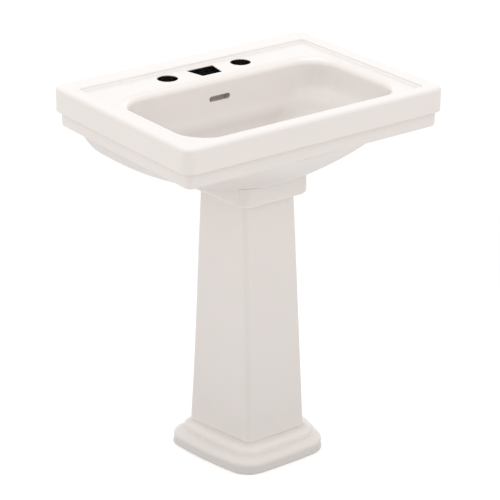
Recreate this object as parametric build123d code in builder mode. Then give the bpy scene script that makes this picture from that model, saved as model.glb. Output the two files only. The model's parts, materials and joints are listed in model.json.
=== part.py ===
from build123d import *
import os
from math import cos, sin, radians, pi

os.makedirs("parts", exist_ok=True)

# ---------------------------------------------------------------- dimensions
# All lengths in millimetres. +Z up, front towards -Y, wall at +Y.
# The origin is on the floor, under the centre of the basin.

# basin
basin_w = 700.0          # width of the upper fascia
basin_d = 526.0          # depth of the upper fascia
rim_z = 883.0            # top of the raised ledge
plan_r = 27.0            # plan corner radius of the fascia
fascia_h = 57.0          # height of the upper fascia
top_edge_r = 7.5
band_z = rim_z - 93.7    # underside of the lower band
band_inset = 10.7        # lower band set back from the fascia
band_edge_r = 9.0
skirt_t = 12.3           # thickness of the skirt behind the band

# deck, sunk inside a raised ledge
deck_drop = 8.2
ledge_side = 36.0
ledge_front = 33.0
ledge_back = 54.0
deck_t = 14.0
deck_z = rim_z - deck_drop

# bowl opening at the top of its wall
bowl_half_w = 279.5
bowl_front = -202.5
bowl_back = 109.5
bowl_r = 72.0
bowl_roll_r = 17.0
bowl_wall = 15.0         # wall between the bowl and the hollow rim
# (depth below the rim, half width, front y, back y, front and back corner radius)
bowl_sections = [
    (20.0, 279.6, -202.6, 109.6, 72.1, 72.1),
    (33.0, 279.6, -202.6, 109.6, 72.1, 72.1),
    (46.0, 279.5, -202.5, 109.5, 73.0, 72.1),
    (60.0, 278.6, -201.3, 109.1, 92.0, 73.0),
    (76.0, 275.8, -197.8, 108.2, 128.0, 75.0),
    (92.0, 269.5, -191.6, 106.6, 170.0, 80.0),
    (105.0, 264.0, -184.5, 104.4, 180.0, 84.0),
    (117.0, 257.5, -176.5, 101.5, 177.0, 88.0),
    (128.0, 247.5, -167.5, 97.7, 164.0, 91.0),
    (137.0, 237.0, -158.0, 93.3, 151.0, 92.0),
    (145.0, 224.0, -147.5, 88.0, 136.0, 91.0),
    (152.0, 209.5, -135.0, 81.5, 121.0, 87.0),
    (158.0, 192.0, -121.0, 73.0, 104.0, 79.0),
    (163.5, 169.0, -103.0, 62.5, 84.0, 68.0),
    (168.0, 134.5, -82.0, 46.0, 60.0, 50.0),
    (170.3, 101.0, -68.0, 32.0, 44.0, 40.0),
    (171.3, 74.0, -60.0, 21.0, 34.0, 34.0),
]
bowl_floor_z = rim_z - 171.3

# belly, the rounded underside that runs back to the wall
belly_back = basin_d / 2 - band_inset
belly_yc = 200.0
belly_top_a, belly_bot_a = 291.8, 206.0
belly_top_y, belly_bot_y = -246.0, -117.0
belly_top_n, belly_bot_n = 3.5, 1.92
belly_px, belly_py = 1.42, 1.10
belly_h = 104.1
belly_z = band_z - belly_h
belly_steps = [0.0, 0.13, 0.28, 0.43, 0.57, 0.70, 0.81, 0.90, 0.96, 1.0]

# recess behind the bowl for the taps and supplies
recess_front = 124.0
recess_back = 240.0
wing_t = 13.0
recess_top_z = deck_z - deck_t

# tap openings
tap_y = 169.0
tap_spacing = 203.2
tap_hole_r = 24.0
centre_back_y, centre_back_w = 190.0, 74.0
centre_front_y, centre_front_w = 137.0, 54.0

# overflow
overflow_w = 58.0
overflow_h = 13.0
overflow_z = rim_z - 57.0
duct_y0, duct_y1 = 117.5, 125.5
duct_half = 24.0
rib_half, rib_y = 34.0, 134.5

# wall bolts
wall_bolt_spacing = 280.0
wall_bolt_r = 7.0
wall_bolt_z = rim_z - 42.0

# drain
drain_y = -20.0
drain_hole_r = 22.5
seat_r = 34.0
seat_z = bowl_floor_z - 3.0

# pedestal: outline = (front half width, front y, back half width, back y)
foot_h = 59.0
shaft_top_z = 640.0
cap_z = belly_z - 0.5          # rim of the pedestal
pad_t = 1.1                    # rubber pads, let into the rim
pad_places = ((-25, -101), (25, -101), (-50, 76.5), (50, 76.5))
foot_outline = (83.2, -113.0, 113.8, 78.0)
shaft_bottom = (81.0, -110.8, 115.8, 80.0)
shaft_low = (79.4, -107.6, 110.8, 79.0)
shaft_mid = (73.2, -90.0, 92.2, 75.2)
shaft_top = (70.8, -81.4, 83.4, 74.0)
cap_outline = (94.2, -107.8, 106.6, 84.0)
wall_t = 14.0
foot_out = 37.0
foot_bow = 10.0            # outward curve of the foot's sides
foot_front_bow = 4.5      # and of its front
window_half = 70.0
floor_screw_spacing = 216.0
floor_screw_r = 4.5
foot_flange_t = 16.0

# waste pipe, 1 1/4 inch
pipe_r = 15.875
pipe_in_r = 14.9
trap_pitch = 82.0
trap_arm_z = 616.0
trap_u_z = 520.0
wall_y = basin_d / 2


# ---------------------------------------------------------------- helpers
def belly_outline(t):
    """Half-width, front y and exponent of the belly plan at fraction t down."""
    kx = max(0.0, 1 - t ** belly_px) ** (1 / belly_px)
    ky = max(0.0, 1 - t ** belly_py) ** (1 / belly_py)
    a = belly_bot_a + (belly_top_a - belly_bot_a) * kx
    yf = belly_bot_y + (belly_top_y - belly_bot_y) * ky
    n = belly_bot_n + (belly_top_n - belly_bot_n) * kx
    return a, yf, n


def belly_plan(t):
    """Plan of the belly: a soft front and straight sides to the wall."""
    a, yf, n = belly_outline(t)
    depth = belly_yc - yf
    pts = []
    for i in range(1, 20):
        th = pi + pi * i / 20
        c, s = cos(th), sin(th)
        x = a * (1 if c > 0 else -1) * abs(c) ** (2 / n) if abs(c) > 1e-9 else 0.0
        pts.append((x, belly_yc - depth * abs(s) ** (2 / n)))
    with BuildSketch(mode=Mode.PRIVATE) as plan:
        with BuildLine():
            Spline((-a, belly_yc), *pts, (a, belly_yc), tangents=((0, -1), (0, 1)))
            Line((a, belly_yc), (a, belly_back))
            Line((a, belly_back), (-a, belly_back))
            Line((-a, belly_back), (-a, belly_yc))
        make_face()
    return plan.sketch


def rounded_box(half_w, y0, y1, r_front, r_back):
    """Rectangle between two y values, with its own front and back corner radius."""
    with BuildSketch(mode=Mode.PRIVATE) as plan:
        with Locations((0, (y0 + y1) / 2)):
            Rectangle(2 * half_w, y1 - y0)
        fillet(plan.vertices().sort_by(Axis.Y)[0:2], r_front)
        fillet(plan.vertices().sort_by(Axis.Y)[-2:], r_back)
    return plan.sketch


def splayed(outline, off, r_front, r_back, bow=0.0, front_bow=0.0):
    """Four-sided plan that widens to the back, grown by off, corners rounded."""
    wf, yf, wb, yb = outline
    slope = (wb - wf) / (yb - yf)
    grow = off * (1 + slope ** 2) ** 0.5
    f = wf + grow - slope * off
    b = wb + grow + slope * off
    y0, y1 = yf - off, yb + off
    with BuildSketch(mode=Mode.PRIVATE) as plan:
        with BuildLine():
            if front_bow:
                ThreePointArc((-f, y0), (0, y0 - front_bow), (f, y0))
            else:
                Line((-f, y0), (f, y0))
            if bow:
                ThreePointArc((f, y0), ((f + b) / 2 + bow, (y0 + y1) / 2), (b, y1))
                Line((b, y1), (-b, y1))
                ThreePointArc((-b, y1), (-(f + b) / 2 - bow, (y0 + y1) / 2), (-f, y0))
            else:
                Line((f, y0), (b, y1))
                Line((b, y1), (-b, y1))
                Line((-b, y1), (-f, y0))
        make_face()
        fillet(plan.vertices().sort_by(Axis.Y)[0:2], r_front)
        fillet(plan.vertices().sort_by(Axis.Y)[-2:], r_back)
    return plan.sketch


# ---------------------------------------------------------------- basin
# fascia: the upper block of the apron
with BuildPart() as fascia:
    with BuildSketch(Plane.XY.offset(rim_z)):
        RectangleRounded(basin_w, basin_d, plan_r)
    extrude(amount=-fascia_h)
    fillet(fascia.faces().sort_by(Axis.Z)[-1].edges(), top_edge_r)
    fillet(fascia.faces().sort_by(Axis.Z)[0].edges(), 3.0)

# lower band, set back under the fascia
with BuildPart() as band:
    with BuildSketch(Plane.XY.offset(band_z)):
        RectangleRounded(basin_w - 2 * band_inset, basin_d - 2 * band_inset, plan_r - band_inset + 2)
    extrude(amount=rim_z - fascia_h + 6 - band_z)
    fillet(band.faces().sort_by(Axis.Z)[0].edges(), band_edge_r)

# belly: lofted through its plans, flat where it sits on the pedestal
with BuildPart() as belly:
    for t in belly_steps:
        with BuildSketch(Plane.XY.offset(band_z - belly_h * t)):
            add(belly_plan(t))
    loft()

# everything cut from above: the sunken deck and the neck of the bowl
with BuildPart() as top_cut:
    with BuildSketch(Plane.XY.offset(rim_z)):
        Rectangle(basin_w + 60, basin_d + 60)
    extrude(amount=20)
    with BuildSketch(Plane.XY.offset(rim_z + 1)):
        add(rounded_box(basin_w / 2 - ledge_side, -basin_d / 2 + ledge_front, basin_d / 2 - ledge_back, 10.0, 10.0))
    extrude(amount=-deck_drop - 1)
    fillet(top_cut.edges().filter_by(lambda e: abs(e.center().Z - deck_z) < 0.01), 3.8)
    fillet(
        top_cut.edges().filter_by(
            lambda e: abs(e.center().Z - rim_z) < 0.01 and abs(e.center().X) < basin_w / 2 and abs(e.center().Y) < basin_d / 2
        ),
        2.2,
    )
    with BuildSketch(Plane.XY.offset(rim_z - 34)):
        add(rounded_box(bowl_half_w, bowl_front, bowl_back, bowl_r, bowl_r))
    extrude(amount=35)
    fillet(
        top_cut.edges().filter_by(
            lambda e: abs(e.center().Z - deck_z) < 0.01 and abs(e.center().X) < bowl_half_w + 5 and bowl_front - 5 < e.center().Y < bowl_back + 5
        ),
        bowl_roll_r,
    )

# the hollow of the bowl
with BuildPart() as bowl_hollow:
    for dz, hw, y0, y1, rf, rb in bowl_sections:
        with BuildSketch(Plane.XY.offset(rim_z - dz)):
            add(rounded_box(hw, y0, y1, rf, rb))
    loft()

# open channel between the skirt and the belly, reached from below
with BuildPart() as skirt_channel:
    with BuildSketch(Plane.XY.offset(band_z - 2)) as channel_plan:
        RectangleRounded(
            basin_w - 2 * (band_inset + skirt_t),
            basin_d - 2 * (band_inset + skirt_t),
            12.0,
        )
    extrude(amount=recess_top_z - band_z + 2)
    with BuildSketch(Plane.XY.offset(band_z - 3)):
        add(belly_plan(0.0))
    extrude(amount=100, mode=Mode.SUBTRACT)
    with BuildSketch(Plane.XY.offset(band_z - 3)):
        add(rounded_box(bowl_half_w + bowl_wall, bowl_front - bowl_wall, bowl_back + bowl_wall, bowl_r + bowl_wall, bowl_r + bowl_wall))
    extrude(amount=100, mode=Mode.SUBTRACT)

# the same channel widened round the front of the bowl, above the belly
with BuildPart() as front_channel:
    with BuildSketch(Plane.XY.offset(band_z + 12)):
        with Locations((0, -70)):
            Rectangle(basin_w - 2 * (band_inset + skirt_t), basin_d - 2 * (band_inset + skirt_t) - 140)
        add(
            rounded_box(bowl_half_w + bowl_wall, bowl_front - bowl_wall, bowl_back + bowl_wall, bowl_r + bowl_wall, bowl_r + bowl_wall),
            mode=Mode.SUBTRACT,
        )
    extrude(amount=recess_top_z - band_z - 12)
    fillet(front_channel.edges().filter_by(Axis.Z).sort_by(Axis.Y)[0:2], 12.0)

# recess behind the bowl, open below
with BuildPart() as tap_recess:
    with BuildSketch(Plane.XZ.offset(-recess_back)):
        with BuildLine():
            side = [(belly_outline(t)[0] - wing_t, band_z - belly_h * t) for t in belly_steps]
            low_a, low_z = side[-1][0], belly_z - 5
            Line((-side[0][0], recess_top_z), (side[0][0], recess_top_z))
            Line((side[0][0], recess_top_z), side[0])
            Spline(*side)
            Line(side[-1], (low_a, low_z))
            Line((low_a, low_z), (-low_a, low_z))
            Line((-low_a, low_z), (-side[-1][0], side[-1][1]))
            Spline(*[(-x, z) for x, z in reversed(side)])
            Line((-side[0][0], side[0][1]), (-side[0][0], recess_top_z))
        make_face()
    extrude(amount=recess_back - recess_front)
    # rib that covers the overflow duct
    with BuildSketch(Plane.XY.offset(belly_z - 6)):
        with Locations((0, (recess_front + rib_y) / 2)):
            Rectangle(2 * rib_half, rib_y - recess_front)
    extrude(amount=recess_top_z - belly_z + 10, mode=Mode.SUBTRACT)

with BuildPart() as basin:
    add(fascia.part)
    add(band.part)
    add(belly.part)
    add(top_cut.part, mode=Mode.SUBTRACT)
    add(bowl_hollow.part, mode=Mode.SUBTRACT)
    add(skirt_channel.part, mode=Mode.SUBTRACT)
    add(front_channel.part, mode=Mode.SUBTRACT)
    add(tap_recess.part, mode=Mode.SUBTRACT)
    # window through the lower back for the waste pipe
    with BuildSketch(Plane.XZ.offset(-(belly_back + 5))):
        with Locations((0, belly_z + 40)):
            Rectangle(300, 110)
    extrude(amount=belly_back + 5 - recess_back + 5, mode=Mode.SUBTRACT)
    # tap openings
    with BuildSketch(Plane.XY.offset(deck_z)):
        with Locations((-tap_spacing / 2, tap_y), (tap_spacing / 2, tap_y)):
            Circle(tap_hole_r)
    extrude(amount=-deck_t - 4, mode=Mode.SUBTRACT)
    with BuildSketch(Plane.XY.offset(deck_z)) as centre_hole:
        with BuildLine():
            Polyline(
                (-centre_front_w / 2, centre_front_y),
                (centre_front_w / 2, centre_front_y),
                (centre_back_w / 2, centre_back_y),
                (-centre_back_w / 2, centre_back_y),
                close=True,
            )
        make_face()
        fillet(centre_hole.vertices(), 2.5)
    extrude(amount=-deck_t - 4, mode=Mode.SUBTRACT)
    # overflow slot and its duct down to the drain hole
    with BuildSketch(Plane.XZ.offset(-duct_y1)):
        with Locations((0, overflow_z)):
            SlotOverall(overflow_w, overflow_h)
    extrude(amount=duct_y1 - 90, mode=Mode.SUBTRACT)
    with BuildSketch(Plane.XY.offset(bowl_floor_z - 17)):
        with Locations((0, (duct_y0 + duct_y1) / 2)):
            Rectangle(2 * duct_half, duct_y1 - duct_y0)
    extrude(amount=overflow_z + overflow_h / 2 - bowl_floor_z + 17, mode=Mode.SUBTRACT)
    with BuildSketch(Plane.XY.offset(bowl_floor_z - 17)):
        with Locations((0, (drain_y + duct_y1) / 2)):
            Rectangle(28, duct_y1 - drain_y)
    extrude(amount=9, mode=Mode.SUBTRACT)
    # drain hole with a seat for the flange
    with BuildSketch(Plane.XY.offset(seat_z)):
        with Locations((0, drain_y)):
            Circle(seat_r)
    extrude(amount=6, mode=Mode.SUBTRACT)
    with BuildSketch(Plane.XY.offset(seat_z + 1)):
        with Locations((0, drain_y)):
            Circle(drain_hole_r)
    extrude(amount=-40, mode=Mode.SUBTRACT)
    # wall bolts
    with BuildSketch(Plane.XZ.offset(-wall_y - 1)):
        with Locations((-wall_bolt_spacing / 2, wall_bolt_z), (wall_bolt_spacing / 2, wall_bolt_z)):
            Circle(wall_bolt_r)
    extrude(amount=wall_y + 2 - recess_back, mode=Mode.SUBTRACT)
basin.part.label = "basin"
export_step(basin.part, "parts/basin.step")


# ---------------------------------------------------------------- pedestal
# shaft
with BuildPart() as shaft:
    for z, o in (
        (foot_h - 2, shaft_bottom),
        (130.0, shaft_low),
        (480.0, shaft_mid),
        (shaft_top_z + 4, shaft_top),
    ):
        with BuildSketch(Plane.XY.offset(z)):
            add(splayed(o, 0.0, 13.0, 8.0))
    loft()

# capital, a plain block with a rounded lower edge; its top follows the belly
with BuildPart() as capital:
    with BuildSketch(Plane.XY.offset(shaft_top_z)):
        add(splayed(cap_outline, 0.0, 28.0, 10.0))
    extrude(amount=belly_z + 30 - shaft_top_z)
    fillet(capital.faces().sort_by(Axis.Z)[0].edges(), 9.0)
    add(belly.part.moved(Location((0, 0, cap_z - belly_z))), mode=Mode.SUBTRACT)

# foot: a plinth that rolls over into the shaft, and a bead on it
with BuildPart() as plinth:
    for z, off in ((0.0, 36.4), (9.0, 37.0), (19.0, 37.0), (26.0, 35.8), (31.0, 32.0), (34.5, 25.5), (36.6, 17.0), (37.4, 9.0)):
        k = off / foot_out
        with BuildSketch(Plane.XY.offset(z)):
            add(splayed(foot_outline, off, 14.0 + 1.15 * off, 7.0 + 0.9 * off, foot_bow * k, foot_front_bow * k))
    loft()

with BuildPart() as bead:
    for z, off in ((33.0, 17.0), (37.6, 16.4), (40.5, 16.0), (45.5, 16.0), (50.5, 13.8), (54.5, 9.8), (57.4, 4.8), (59.0, 0.6)):
        k = off / foot_out
        with BuildSketch(Plane.XY.offset(z)):
            add(splayed(foot_outline, off, 14.0 + 1.15 * off, 8.0 + 0.8 * off, foot_bow * k, foot_front_bow * k))
    loft()

# hollow inside the shaft, and the wider hollow inside the foot
with BuildPart() as shaft_hollow:
    for z, o in (
        (foot_h - 6, shaft_bottom),
        (130.0, shaft_low),
        (480.0, shaft_mid),
        (shaft_top_z - 8, shaft_top),
    ):
        with BuildSketch(Plane.XY.offset(z)):
            add(splayed(o, -wall_t, 6.0, 4.0))
    loft()

with BuildPart() as pedestal:
    add(shaft.part)
    add(capital.part)
    add(plinth.part)
    add(bead.part)
    add(shaft_hollow.part, mode=Mode.SUBTRACT)
    # the hollow runs up through the capital
    with BuildSketch(Plane.XY.offset(shaft_top_z - 9)):
        add(splayed(shaft_top, -wall_t, 6.0, 4.0))
    extrude(amount=cap_z - shaft_top_z + 14, mode=Mode.SUBTRACT)
    # seats for the rubber pads
    with BuildSketch(Plane.XY.offset(belly_z - pad_t)):
        with Locations(*pad_places):
            RectangleRounded(24.6, 9.6, 3.3)
    extrude(amount=pad_t + 2, mode=Mode.SUBTRACT)
    # hollow of the foot, above its screw flange
    with BuildSketch(Plane.XY.offset(foot_flange_t)):
        add(splayed(foot_outline, foot_out - 16, 30.0, 26.0, 5.0))
    extrude(amount=13, mode=Mode.SUBTRACT)
    with BuildSketch(Plane.XY.offset(foot_flange_t + 8)):
        add(splayed(shaft_bottom, -wall_t, 6.0, 4.0))
    extrude(amount=foot_h - foot_flange_t, mode=Mode.SUBTRACT)
    with BuildSketch(Plane.XY.offset(-1)):
        add(splayed(shaft_bottom, -12, 12.0, 12.0))
    extrude(amount=foot_flange_t + 4, mode=Mode.SUBTRACT)
    # open back between the foot and the capital
    with BuildSketch(Plane.XZ.offset(-150)):
        with Locations((0, (foot_h + 12 + shaft_top_z - 14) / 2)):
            RectangleRounded(2 * window_half, shaft_top_z - 14 - foot_h - 12, 12)
    extrude(amount=90, mode=Mode.SUBTRACT)
    # floor screws
    with BuildSketch(Plane.XY.offset(-1)):
        with Locations((-floor_screw_spacing / 2, 10), (floor_screw_spacing / 2, 10)):
            Circle(floor_screw_r)
    extrude(amount=foot_flange_t + 3, mode=Mode.SUBTRACT)
pedestal.part.label = "pedestal"
export_step(pedestal.part, "parts/pedestal.step")

# rubber pads between the pedestal rim and the basin
with BuildPart() as rest_pads:
    with BuildSketch(Plane.XY.offset(belly_z - pad_t)):
        with Locations(*pad_places):
            RectangleRounded(24, 9, 3)
    extrude(amount=pad_t)
rest_pads.part.label = "rest_pads"
export_step(rest_pads.part, "parts/rest_pads.step")


# ---------------------------------------------------------------- drain
drain_axis = Axis((0, drain_y, 0), (0, 0, 1))
drain_plane = Plane(origin=(0, drain_y, 0), x_dir=(1, 0, 0), z_dir=(0, -1, 0))
flange_top = seat_z + 1.5 + 3.0
body_low = 640.0
body_r, body_bore = 20.0, 17.0


def ring(*pts):
    """Closed radius/height polygon to turn about an axis."""
    with BuildSketch(mode=Mode.PRIVATE) as profile:
        with BuildLine():
            Polyline(*pts, close=True)
        make_face()
    return profile.sketch


with BuildPart() as drain_body:
    with BuildSketch(drain_plane):
        add(ring(
            (body_bore, body_low),
            (body_r, body_low),
            (body_r, seat_z + 1.5),
            (31.0, seat_z + 1.5),
            (32.0, seat_z + 2.3),
            (31.2, seat_z + 3.6),
            (28.6, flange_top),
            (27.0, flange_top),
            (18.4, flange_top - 2.6),
            (body_bore, flange_top - 7.0),
        ))
    revolve(axis=drain_axis)
    # overflow slots
    with BuildSketch(Plane.XZ.offset(-drain_y - 30)):
        with Locations((0, bowl_floor_z - 12.5)):
            SlotOverall(16, 9)
    extrude(amount=60, mode=Mode.SUBTRACT)
    # crossbar with a threaded hub
    with BuildSketch(Plane.XY.offset(672)):
        with Locations((0, drain_y)):
            Rectangle(2 * body_bore + 2, 5)
            Rectangle(5, 2 * body_bore + 2)
            Circle(6)
            Circle(2.6, mode=Mode.SUBTRACT)
    extrude(amount=5)
    # external thread shown as shallow grooves
    for i in range(12):
        z = body_low + 3 + 3.0 * i
        with BuildSketch(drain_plane):
            add(ring((body_r + 1, z - 0.9), (body_r - 0.6, z), (body_r + 1, z + 0.9)))
        revolve(axis=drain_axis, mode=Mode.SUBTRACT)
drain_body.part.label = "drain_body"
export_step(drain_body.part, "parts/drain_body.step")

with BuildPart() as flange_gasket:
    with BuildSketch(Plane.XY.offset(seat_z)):
        with Locations((0, drain_y)):
            Circle(31)
            Circle(body_r + 0.3, mode=Mode.SUBTRACT)
    extrude(amount=1.5)
flange_gasket.part.label = "flange_gasket"
export_step(flange_gasket.part, "parts/flange_gasket.step")

with BuildPart() as tapered_gasket:
    with BuildSketch(drain_plane):
        add(ring(
            (body_r + 0.3, belly_z - 8),
            (30, belly_z - 8),
            (30, belly_z - 3),
            (27, belly_z),
            (drain_hole_r - 0.3, belly_z),
            (drain_hole_r - 1.2, belly_z + 3.5),
            (body_r + 0.3, belly_z + 3.5),
        ))
    revolve(axis=drain_axis)
tapered_gasket.part.label = "tapered_gasket"
export_step(tapered_gasket.part, "parts/tapered_gasket.step")

with BuildPart() as friction_washer:
    with BuildSketch(Plane.XY.offset(belly_z - 10)):
        with Locations((0, drain_y)):
            Circle(30)
            Circle(body_r + 0.3, mode=Mode.SUBTRACT)
    extrude(amount=2)
friction_washer.part.label = "friction_washer"
export_step(friction_washer.part, "parts/friction_washer.step")

with BuildPart() as drain_locknut:
    with BuildSketch(Plane.XY.offset(belly_z - 22)):
        with Locations((0, drain_y)):
            RegularPolygon(27, 6, major_radius=False)
            Circle(body_r + 0.3, mode=Mode.SUBTRACT)
    extrude(amount=12)
    fillet(drain_locknut.edges().filter_by(Axis.Z), 2.0)
    with BuildSketch(Plane.XY.offset(belly_z - 12)):
        with Locations((0, drain_y)):
            Circle(29.5)
            Circle(body_r + 0.3, mode=Mode.SUBTRACT)
    extrude(amount=2)
drain_locknut.part.label = "drain_locknut"
export_step(drain_locknut.part, "parts/drain_locknut.step")

# ---- stopper
cap_low = flange_top + 0.3
with BuildPart() as stopper_cap:
    with BuildSketch(drain_plane):
        with BuildLine():
            Line((0, cap_low), (29.0, cap_low))
            Line((29.0, cap_low), (29.6, cap_low + 1.2))
            Spline(
                (29.6, cap_low + 1.2),
                (27.5, cap_low + 3.4),
                (18.0, cap_low + 6.0),
                (0, cap_low + 7.2),
                tangents=((-0.1, 1.0), (-1, 0)),
            )
            Line((0, cap_low + 7.2), (0, cap_low))
        make_face()
    revolve(axis=drain_axis)
stopper_cap.part.label = "stopper_cap"
export_step(stopper_cap.part, "parts/stopper_cap.step")

with BuildPart() as stopper_seal:
    with BuildSketch(drain_plane):
        add(ring(
            (6.3, cap_low - 2.6),
            (18.2, cap_low - 2.6),
            (26.2, cap_low - 0.15),
            (26.2, cap_low),
            (6.3, cap_low),
        ))
    revolve(axis=drain_axis)
stopper_seal.part.label = "stopper_seal"
export_step(stopper_seal.part, "parts/stopper_seal.step")

with BuildPart() as stopper_sleeve:
    with BuildSketch(drain_plane):
        add(ring(
            (4.1, 690.5),
            (4.6, 690.0),
            (6.0, 690.0),
            (6.0, cap_low),
            (4.1, cap_low),
        ))
    revolve(axis=drain_axis)
stopper_sleeve.part.label = "stopper_sleeve"
export_step(stopper_sleeve.part, "parts/stopper_sleeve.step")

with BuildPart() as stopper_post:
    with BuildSketch(drain_plane):
        add(ring(
            (0, 672.5),
            (2.5, 672.5),
            (2.5, 677.0),
            (5.0, 677.0),
            (5.0, 679.5),
            (4.04, 679.5),
            (4.04, 702.6),
            (3.0, 702.6),
            (3.0, 704.6),
            (4.04, 704.6),
            (4.04, 707.4),
            (3.3, 708.2),
            (0, 708.2),
        ))
    revolve(axis=drain_axis)
stopper_post.part.label = "stopper_post"
export_step(stopper_post.part, "parts/stopper_post.step")

with BuildPart() as post_oring:
    with BuildSketch(drain_plane):
        add(ring((3.02, 702.7), (3.7, 702.7), (4.07, 703.1), (4.07, 704.1), (3.7, 704.5), (3.02, 704.5)))
    revolve(axis=drain_axis)
post_oring.part.label = "post_oring"
export_step(post_oring.part, "parts/post_oring.step")

# ---- tailpiece
with BuildPart() as tailpiece_seal:
    with BuildSketch(Plane.XY.offset(body_low - 2)):
        with Locations((0, drain_y)):
            Circle(19.6)
            Circle(body_bore, mode=Mode.SUBTRACT)
    extrude(amount=2)
tailpiece_seal.part.label = "tailpiece_seal"
export_step(tailpiece_seal.part, "parts/tailpiece_seal.step")

with BuildPart() as tailpiece:
    with BuildSketch(drain_plane):
        add(ring(
            (pipe_in_r, 562),
            (pipe_r, 562),
            (pipe_r, body_low - 6),
            (19.6, body_low - 5),
            (19.6, body_low - 2),
            (body_bore - 0.2, body_low - 2),
            (body_bore - 0.2, body_low + 11),
            (pipe_in_r, body_low + 11),
        ))
    revolve(axis=drain_axis)
tailpiece.part.label = "tailpiece"
export_step(tailpiece.part, "parts/tailpiece.step")


# ---------------------------------------------------------------- trap
out_y = drain_y + trap_pitch
socket_top = 590.0
union_z = 545.0
out_axis = Axis((0, out_y, 0), (0, 0, 1))
out_plane = Plane(origin=(0, out_y, 0), x_dir=(1, 0, 0), z_dir=(0, -1, 0))
trap_low = trap_u_z - trap_pitch / 2


def trap_path(z_in, z_out):
    """Centre line of the J-bend: down, half a turn, up."""
    with BuildLine() as path:
        Line((0, drain_y, z_in), (0, drain_y, trap_u_z))
        ThreePointArc(
            (0, drain_y, trap_u_z),
            (0, (drain_y + out_y) / 2, trap_low),
            (0, out_y, trap_u_z),
        )
        Line((0, out_y, trap_u_z), (0, out_y, z_out))
    return path.line


bend_line = trap_path(socket_top - 28, union_z - 2)
bore_line = trap_path(socket_top - 29, union_z + 1)

with BuildPart() as trap_bore:
    with BuildSketch(Plane.XY.offset(socket_top - 29)):
        with Locations((0, drain_y)):
            Circle(14.6)
    sweep(path=bore_line)

with BuildPart() as trap_bend:
    with BuildSketch(Plane.XY.offset(socket_top - 28)):
        with Locations((0, drain_y)):
            Circle(17.4)
    sweep(path=bend_line)
    # socket for the tailpiece, and the threaded collar of the union
    with BuildSketch(drain_plane):
        add(ring(
            (0, socket_top - 34),
            (18.2, socket_top - 34),
            (20.5, socket_top - 30),
            (20.5, socket_top),
            (0, socket_top),
        ))
    revolve(axis=drain_axis)
    with BuildSketch(out_plane):
        add(ring((0, union_z - 19), (18.2, union_z - 19), (20.5, union_z - 15), (20.5, union_z), (0, union_z)))
    revolve(axis=out_axis)
    # boss for the cleanout
    with BuildSketch(Plane.XY.offset(trap_low)):
        with Locations((0, (drain_y + out_y) / 2)):
            Circle(11.5)
    extrude(amount=-24)
    add(trap_bore.part, mode=Mode.SUBTRACT)
    with BuildSketch(Plane.XY.offset(socket_top - 28)):
        with Locations((0, drain_y)):
            Circle(16.1)
    extrude(amount=30, mode=Mode.SUBTRACT)
    with BuildSketch(Plane.XY.offset(trap_low)):
        with Locations((0, (drain_y + out_y) / 2)):
            Circle(8.0)
    extrude(amount=-26, mode=Mode.SUBTRACT)
trap_bend.part.label = "trap_bend"
export_step(trap_bend.part, "parts/trap_bend.step")

with BuildPart() as trap_inlet_washer:
    with BuildSketch(drain_plane):
        add(ring(
            (pipe_r + 0.1, socket_top),
            (20.3, socket_top),
            (18.2, socket_top + 4),
            (pipe_r + 0.1, socket_top + 4),
        ))
    revolve(axis=drain_axis)
trap_inlet_washer.part.label = "trap_inlet_washer"
export_step(trap_inlet_washer.part, "parts/trap_inlet_washer.step")


with BuildPart() as trap_inlet_nut:
    with BuildSketch(drain_plane):
        add(ring(
            (20.7, socket_top - 15),
            (24.6, socket_top - 15),
            (25.6, socket_top - 13.8),
            (25.6, socket_top + 3.2),
            (21.0, socket_top + 8.5),
            (16.3, socket_top + 8.5),
            (16.3, socket_top + 4.1),
            (20.7, socket_top + 4.1),
        ))
    revolve(axis=drain_axis)
    with BuildSketch(Plane.XY.offset(socket_top - 13)):
        with Locations((0, drain_y)):
            with PolarLocations(25.4, 8):
                Circle(2.3)
            Circle(22.0, mode=Mode.SUBTRACT)
    extrude(amount=14)
trap_inlet_nut.part.label = "trap_inlet_nut"
export_step(trap_inlet_nut.part, "parts/trap_inlet_nut.step")

with BuildPart() as trap_union_washer:
    with BuildSketch(Plane.XY.offset(union_z)):
        with Locations((0, out_y)):
            Circle(20.0)
            Circle(15.2, mode=Mode.SUBTRACT)
    extrude(amount=2.5)
trap_union_washer.part.label = "trap_union_washer"
export_step(trap_union_washer.part, "parts/trap_union_washer.step")

with BuildPart() as trap_union_nut:
    with BuildSketch(out_plane):
        add(ring(
            (20.7, union_z - 12),
            (24.6, union_z - 12),
            (25.6, union_z - 10.8),
            (25.6, union_z + 4.4),
            (21.0, union_z + 9.6),
            (16.3, union_z + 9.6),
            (16.3, union_z + 5.3),
            (20.7, union_z + 5.3),
        ))
    revolve(axis=out_axis)
    with BuildSketch(Plane.XY.offset(union_z - 10)):
        with Locations((0, out_y)):
            with PolarLocations(25.4, 8):
                Circle(2.3)
            Circle(22.0, mode=Mode.SUBTRACT)
    extrude(amount=12)
trap_union_nut.part.label = "trap_union_nut"
export_step(trap_union_nut.part, "parts/trap_union_nut.step")

# wall tube: short leg, bend, straight run to the wall
arm_bend_r = 38.0
with BuildLine() as arm_path:
    Line((0, out_y, union_z + 2.5), (0, out_y, trap_arm_z - arm_bend_r))
    ThreePointArc(
        (0, out_y, trap_arm_z - arm_bend_r),
        (0, out_y + arm_bend_r * (1 - cos(radians(45))), trap_arm_z - arm_bend_r * (1 - sin(radians(45)))),
        (0, out_y + arm_bend_r, trap_arm_z),
    )
    Line((0, out_y + arm_bend_r, trap_arm_z), (0, wall_y, trap_arm_z))

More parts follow.
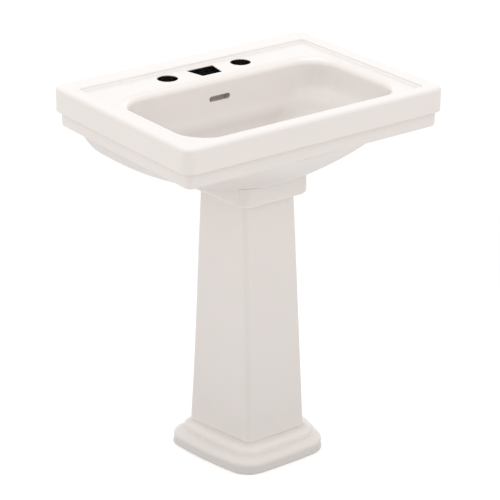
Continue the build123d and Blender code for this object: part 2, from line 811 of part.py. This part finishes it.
with BuildPart() as trap_arm:
    with BuildSketch(Plane.XY.offset(union_z + 2.5)):
        with Locations((0, out_y)):
            Circle(pipe_r)
            Circle(pipe_in_r, mode=Mode.SUBTRACT)
    sweep(path=arm_path.line)
    # flared end held by the union nut
    with BuildSketch(out_plane):
        add(ring(
            (15.4, union_z + 2.5),
            (19.9, union_z + 2.5),
            (19.9, union_z + 5.1),
            (15.4, union_z + 5.1),
        ))
    revolve(axis=out_axis)
trap_arm.part.label = "trap_arm"
export_step(trap_arm.part, "parts/trap_arm.step")

clean_y = (drain_y + out_y) / 2
clean_z = trap_low - 24
with BuildPart() as cleanout_gasket:
    with BuildSketch(Plane.XY.offset(clean_z - 1.5)):
        with Locations((0, clean_y)):
            Circle(11.2)
            Circle(8.1, mode=Mode.SUBTRACT)
    extrude(amount=1.5)
cleanout_gasket.part.label = "cleanout_gasket"
export_step(cleanout_gasket.part, "parts/cleanout_gasket.step")

with BuildPart() as cleanout_plug:
    with BuildSketch(Plane.XY.offset(clean_z - 1.5)):
        with Locations((0, clean_y)):
            Circle(7.8)
    extrude(amount=12)
    with BuildSketch(Plane.XY.offset(clean_z - 3.5)):
        with Locations((0, clean_y)):
            Circle(11.5)
    extrude(amount=2)
    with BuildSketch(Plane.XY.offset(clean_z - 11)):
        with Locations((0, clean_y)):
            RegularPolygon(8.5, 6, major_radius=False)
    extrude(amount=7.5)
    chamfer(cleanout_plug.faces().sort_by(Axis.Z)[0].edges(), 0.8)
cleanout_plug.part.label = "cleanout_plug"
export_step(cleanout_plug.part, "parts/cleanout_plug.step")

# wall flange round the waste pipe
arm_axis = Axis((0, 0, trap_arm_z), (0, 1, 0))
with BuildPart() as wall_escutcheon:
    with BuildSketch(Plane(origin=(0, 0, trap_arm_z), x_dir=(1, 0, 0), z_dir=(0, 0, 1))):
        with BuildLine():
            Line((32.0, wall_y), (32.0, wall_y - 1.6))
            Spline(
                (32.0, wall_y - 1.6),
                (29.0, wall_y - 4.8),
                (22.0, wall_y - 9.5),
                (18.2, wall_y - 15.0),
                tangents=((-0.3, -1), (0, -1)),
            )
            Line((18.2, wall_y - 15.0), (16.2, wall_y - 15.0))
            Line((16.2, wall_y - 15.0), (16.2, wall_y - 12.5))
            Spline(
                (16.2, wall_y - 12.5),
                (20.0, wall_y - 8.0),
                (27.0, wall_y - 3.2),
                (29.6, wall_y),
                tangents=((0.1, 1), (0.3, 1)),
            )
            Line((29.6, wall_y), (32.0, wall_y))
        make_face()
    revolve(axis=arm_axis)
wall_escutcheon.part.label = "wall_escutcheon"
export_step(wall_escutcheon.part, "parts/wall_escutcheon.step")
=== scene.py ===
import json
import math

import bpy
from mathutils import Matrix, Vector

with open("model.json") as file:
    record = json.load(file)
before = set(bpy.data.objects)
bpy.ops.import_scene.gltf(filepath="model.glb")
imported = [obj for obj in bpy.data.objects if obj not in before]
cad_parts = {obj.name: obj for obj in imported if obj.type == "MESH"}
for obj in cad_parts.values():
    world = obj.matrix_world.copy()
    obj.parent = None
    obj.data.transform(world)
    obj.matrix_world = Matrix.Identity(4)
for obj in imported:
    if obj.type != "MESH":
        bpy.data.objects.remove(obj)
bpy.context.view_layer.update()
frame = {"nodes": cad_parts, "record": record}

scene = bpy.context.scene
nodes = frame["nodes"]

# the heights of the rim and the deck, in metres
RIM_Z = 0.883
DECK_Z = 0.8748


# ---------------------------------------------------------------- materials
def new_material(name):
    m = bpy.data.materials.new(name)
    m.use_nodes = True
    nt = m.node_tree
    nt.nodes.clear()
    out = nt.nodes.new("ShaderNodeOutputMaterial")
    bsdf = nt.nodes.new("ShaderNodeBsdfPrincipled")
    nt.links.new(bsdf.outputs["BSDF"], out.inputs["Surface"])
    return m, nt, bsdf


def mix_colours(nt, fac, a, b):
    mix = nt.nodes.new("ShaderNodeMix")
    mix.data_type = "RGBA"
    if fac is not None:
        nt.links.new(fac, mix.inputs[0])
    for socket, value in ((mix.inputs[6], a), (mix.inputs[7], b)):
        if isinstance(value, tuple):
            socket.default_value = (*value, 1.0)
        else:
            nt.links.new(value, socket)
    return mix.outputs[2]


def noise(nt, scale, detail=2.0, roughness=0.5, offset=(0, 0, 0)):
    geo = nt.nodes.new("ShaderNodeTexCoord")
    mp = nt.nodes.new("ShaderNodeMapping")
    mp.inputs["Location"].default_value = offset
    tex = nt.nodes.new("ShaderNodeTexNoise")
    tex.inputs["Scale"].default_value = scale
    tex.inputs["Detail"].default_value = detail
    tex.inputs["Roughness"].default_value = roughness
    nt.links.new(geo.outputs["Object"], mp.inputs["Vector"])
    nt.links.new(mp.outputs["Vector"], tex.inputs["Vector"])
    return tex.outputs["Fac"]


def ramp(nt, value, lo, hi, to_lo=0.0, to_hi=1.0):
    mr = nt.nodes.new("ShaderNodeMapRange")
    mr.clamp = True
    mr.inputs["From Min"].default_value = lo
    mr.inputs["From Max"].default_value = hi
    mr.inputs["To Min"].default_value = to_lo
    mr.inputs["To Max"].default_value = to_hi
    nt.links.new(value, mr.inputs["Value"])
    return mr.outputs["Result"]


def position(nt):
    """X, Y and Z of the surface point in the frame, in metres."""
    co = nt.nodes.new("ShaderNodeTexCoord")
    sep = nt.nodes.new("ShaderNodeSeparateXYZ")
    nt.links.new(co.outputs["Object"], sep.inputs[0])
    return sep.outputs


def math2(nt, op, a, b):
    node = nt.nodes.new("ShaderNodeMath")
    node.operation = op
    for socket, value in ((node.inputs[0], a), (node.inputs[1], b)):
        if isinstance(value, (int, float)):
            socket.default_value = value
        else:
            nt.links.new(value, socket)
    return node.outputs[0]


def between(nt, value, lo, hi, soft):
    """1 where value lies between lo and hi, 0 outside."""
    return math2(nt, "MULTIPLY", ramp(nt, value, lo - soft, lo + soft), ramp(nt, value, hi - soft, hi + soft, 1.0, 0.0))


def box_mask(nt, xyz, ranges, soft):
    """1 inside the box of three (lo, hi) ranges, 0 outside."""
    inside = None
    for value, (lo, hi) in zip(xyz, ranges):
        part = between(nt, value, lo, hi, soft)
        inside = part if inside is None else math2(nt, "MULTIPLY", inside, part)
    return inside


def normal(nt):
    """X, Y and Z of the surface's own normal."""
    co = nt.nodes.new("ShaderNodeTexCoord")
    sep = nt.nodes.new("ShaderNodeSeparateXYZ")
    nt.links.new(co.outputs["Normal"], sep.inputs[0])
    return sep.outputs


def painted_shade_at(nt, z, levels):
    """Painted shade by height: the tone at height z, in straight lines between the (height, tone) pairs."""
    total = levels[0][1]
    for (h0, t0), (h1, t1) in zip(levels, levels[1:]):
        if t1 != t0:
            total = math2(nt, "ADD", total, ramp(nt, z, h0, h1, 0.0, t1 - t0))
    return total


GLAZE_LO = (0.695, 0.648, 0.618)
GLAZE_HI = (0.717, 0.669, 0.639)
# painted shade: a darker, less warm copy of the glaze for the faces that look up
CROWN_PAINTED_SHADE = (0.660, 0.633, 0.614)
# painted light: a lighter copy of the glaze for the bowl's walls
BOWL_PAINTED_LIGHT = (0.764, 0.727, 0.703)


# painted shade: inside the overflow slot the glaze is painted darker, as the shade in the recess
SLOT = ((-0.0295, 0.0295), (0.1102, 0.1262), (0.8185, 0.8335))
SLOT_PAINTED_SHADE = (0.54, 0.48, 0.43)

# painted light: the step round the deck gets a lighter copy of the glaze, which takes out its shade
STEP = ((-0.3165, 0.3165), (-0.2325, 0.2115), (DECK_Z - 0.0004, 0.90))
STEP_PAINTED_LIGHT = (0.80, 0.77, 0.75)


def glaze(name, levels, dark_shade_box=None, crown=None, bowl=None):
    """Warm off-white vitreous glaze, with the faint cloudiness of a fired surface.
    levels: (height, tone) pairs from the floor up, the painted shade by height; crown:
    height above which the faces that look up get a darker, less warm copy, painted
    shade; bowl: X, Y and Z ranges painted lighter, painted light; dark_shade_box: X,
    Y and Z ranges painted near-black, painted shade."""
    m, nt, bsdf = new_material(name)
    cloud = noise(nt, 6.0, 3.0, 0.55)
    x, y, z = position(nt)
    nx, ny, nz = normal(nt)
    # painted shade: the upright rounded corners are painted a little darker
    corner_shade = ramp(nt, math2(nt, "ABSOLUTE", math2(nt, "MULTIPLY", nx, ny), 0.0), 0.12, 0.48, 1.0, 0.96)
    # painted shade by height, times the painted shade on the corners
    tone = math2(nt, "MULTIPLY", painted_shade_at(nt, z, levels), corner_shade)
    body = mix_colours(nt, cloud, GLAZE_LO, GLAZE_HI)
    base = mix_colours(nt, tone, (0.0, 0.0, 0.0), body)
    # painted light inside the bowl, kept off the darker corners
    if bowl:
        base = mix_colours(nt, math2(nt, "MULTIPLY", box_mask(nt, (x, y, z), bowl, 0.012), ramp(nt, corner_shade, 0.90, 1.0)), base, BOWL_PAINTED_LIGHT)
    if crown:
        # painted light on the step round the deck
        base = mix_colours(nt, box_mask(nt, (x, y, z), STEP, 0.0008), base, STEP_PAINTED_LIGHT)
        # painted shade inside the overflow slot
        base = mix_colours(nt, box_mask(nt, (x, y, z), SLOT, 0.0004), base, SLOT_PAINTED_SHADE)
        # painted shade on the faces that look up, above the crown height
        base = mix_colours(nt, math2(nt, "MULTIPLY", ramp(nt, z, crown - 0.003, crown), ramp(nt, nz, 0.5, 0.97)), base, CROWN_PAINTED_SHADE)
    # painted shade: near-black in the box under the tap openings
    if dark_shade_box:
        base = mix_colours(nt, box_mask(nt, (x, y, z), dark_shade_box, 0.0005), base, (0.006, 0.006, 0.006))
    nt.links.new(base, bsdf.inputs["Base Color"])
    # thinner and duller on the faces that look down
    nt.links.new(ramp(nt, nz, -0.6, -0.15, 0.42, 0.18), bsdf.inputs["Roughness"])
    bsdf.inputs["IOR"].default_value = 1.45
    bsdf.inputs["Specular IOR Level"].default_value = 0.36
    return m


def metal(name, lo, hi, rough_lo, rough_hi, scale=40.0):
    m, nt, bsdf = new_material(name)
    n = noise(nt, scale, 3.0, 0.6)
    nt.links.new(mix_colours(nt, n, lo, hi), bsdf.inputs["Base Color"])
    nt.links.new(ramp(nt, n, 0.2, 0.8, rough_lo, rough_hi), bsdf.inputs["Roughness"])
    bsdf.inputs["Metallic"].default_value = 1.0
    return m


def plain(name, lo, hi, rough_lo, rough_hi, scale=60.0):
    m, nt, bsdf = new_material(name)
    n = noise(nt, scale, 4.0, 0.6)
    nt.links.new(mix_colours(nt, n, lo, hi), bsdf.inputs["Base Color"])
    nt.links.new(ramp(nt, n, 0.2, 0.8, rough_lo, rough_hi), bsdf.inputs["Roughness"])
    return m


MATERIALS = {
    # painted shade: the deck's underside and the hole walls, seen through the tap openings, are painted near-black
    "basin_glaze": glaze(
        "basin_glaze",
        # painted shade by height: darker on the underside of the basin, between 0.69 m and 0.80 m
        [(0.0, 0.96), (0.692, 0.96), (0.715, 0.885), (0.75, 0.90), (0.80, 0.968), (1.0, 0.968)],
        # the box of the painted near-black shade under the tap openings
        ((-0.26, 0.26), (0.1262, 0.2405), (0.78, DECK_Z - 0.0015)),
        DECK_Z - 0.0008,
        # the box of the painted light inside the bowl
        ((-0.285, 0.285), (-0.207, 0.115), (0.77, 0.90)),
    ),
    "pedestal_glaze": glaze(
        "pedestal_glaze",
        [
            # painted shade by height: darkest at the floor, lighter on the plinth's rounded top, darker again low on
            # the shaft, lighter towards the top
            (0.0, 0.70), (0.018, 0.73), (0.028, 0.90), (0.035, 0.96), (0.046, 0.93), (0.053, 0.935), (0.060, 0.90),
            (0.070, 0.845), (0.10, 0.825), (0.25, 0.865), (0.50, 0.93), (0.64, 0.955), (0.66, 0.94), (1.0, 0.94),
        ],
    ),
    "pad_rubber": plain("pad_rubber", (0.62, 0.60, 0.57), (0.68, 0.66, 0.63), 0.55, 0.75),
    "drain_metal": metal("drain_metal", (0.62, 0.62, 0.63), (0.72, 0.72, 0.73), 0.08, 0.16),
    "seal_rubber": plain("seal_rubber", (0.012, 0.012, 0.012), (0.028, 0.027, 0.026), 0.55, 0.75),
    "washer_plastic": plain("washer_plastic", (0.66, 0.66, 0.63), (0.74, 0.74, 0.71), 0.35, 0.5),
    "locknut_brass": metal("locknut_brass", (0.55, 0.38, 0.14), (0.66, 0.47, 0.20), 0.25, 0.4),
    "tube_metal": metal("tube_metal", (0.62, 0.62, 0.63), (0.72, 0.72, 0.73), 0.08, 0.18),
    "stopper_metal": metal("stopper_metal", (0.62, 0.62, 0.63), (0.72, 0.72, 0.73), 0.06, 0.14),
    "sleeve_plastic": plain("sleeve_plastic", (0.03, 0.03, 0.032), (0.045, 0.045, 0.048), 0.35, 0.5),
    "post_brass": metal("post_brass", (0.55, 0.38, 0.14), (0.66, 0.47, 0.20), 0.2, 0.35),
    "nut_metal": metal("nut_metal", (0.62, 0.62, 0.63), (0.72, 0.72, 0.73), 0.10, 0.20),
    "trap_metal": metal("trap_metal", (0.62, 0.62, 0.63), (0.72, 0.72, 0.73), 0.08, 0.18),
}

SLOT_OF = {s["node"]: s["material_slot"] for s in frame["record"]["subparts"]}
for name, obj in nodes.items():
    material = MATERIALS[SLOT_OF[name]]
    if not obj.material_slots:
        obj.data.materials.append(material)
    for slot in obj.material_slots:
        slot.material = material

# ---------------------------------------------------------------- floor and light
bpy.ops.mesh.primitive_plane_add(size=40, location=(0, 0, -0.0005))
floor = bpy.context.object
floor.name = "floor"
m, nt, bsdf = new_material("floor")
base = mix_colours(nt, noise(nt, 1.5, 2.0, 0.5), (0.67, 0.67, 0.67), (0.69, 0.69, 0.69))
nt.links.new(base, bsdf.inputs["Base Color"])
bsdf.inputs["Roughness"].default_value = 0.9
# the pale studio floor glows a little away from the object, so that it stays even
pos = nt.nodes.new("ShaderNodeTexCoord")
ln = nt.nodes.new("ShaderNodeVectorMath")
ln.operation = "LENGTH"
nt.links.new(pos.outputs["Object"], ln.inputs[0])
near = ramp(nt, ln.outputs["Value"], 0.15, 1.2, 0.26, 0.0)
far = ramp(nt, ln.outputs["Value"], 1.0, 3.5, 0.09, 0.20)
glow = math2(nt, "ADD", near, far)
bsdf.inputs["Emission Color"].default_value = (1, 1, 1, 1)
nt.links.new(glow, bsdf.inputs["Emission Strength"])
floor.data.materials.append(m)

world = bpy.data.worlds.new("studio")
scene.world = world
world.use_nodes = True
wn = world.node_tree
wn.nodes.clear()
wo = wn.nodes.new("ShaderNodeOutputWorld")
bg = wn.nodes.new("ShaderNodeBackground")
bg.inputs["Color"].default_value = (1.0, 1.0, 1.0, 1)
bg.inputs["Strength"].default_value = 1.22
wn.links.new(bg.outputs["Background"], wo.inputs["Surface"])


def area(name, location, target, size, power, color=(1, 1, 1)):
    data = bpy.data.lights.new(name, "AREA")
    data.shape = "SQUARE"
    data.size = size
    data.energy = power
    data.color = color
    ob = bpy.data.objects.new(name, data)
    scene.collection.objects.link(ob)
    ob.location = location
    d = Vector(target) - Vector(location)
    ob.rotation_euler = d.to_track_quat("-Z", "Y").to_euler()
    return ob


area("top", (0.2, 0.1, 4.0), (0, 0, 0.8), 2.6, 26)
area("left", (-3.2, 0.2, 1.4), (0, 0, 0.6), 2.0, 2.8)

# ---------------------------------------------------------------- camera
cam = bpy.data.cameras.new("camera")
cam.sensor_fit = "HORIZONTAL"
cam.sensor_width = 36.0
cam.lens = 2061.85 / 500.0 * 36.0
cam.clip_end = 100.0
cam_ob = bpy.data.objects.new("camera", cam)
scene.collection.objects.link(cam_ob)
cam_ob.location = (-2.57632, -3.49542, RIM_Z + 1.45465)
cam_ob.rotation_euler = (math.pi / 2 - 0.402714, 0.0, -0.635941)
scene.camera = cam_ob

scene.view_settings.view_transform = "Standard"
scene.view_settings.look = "None"
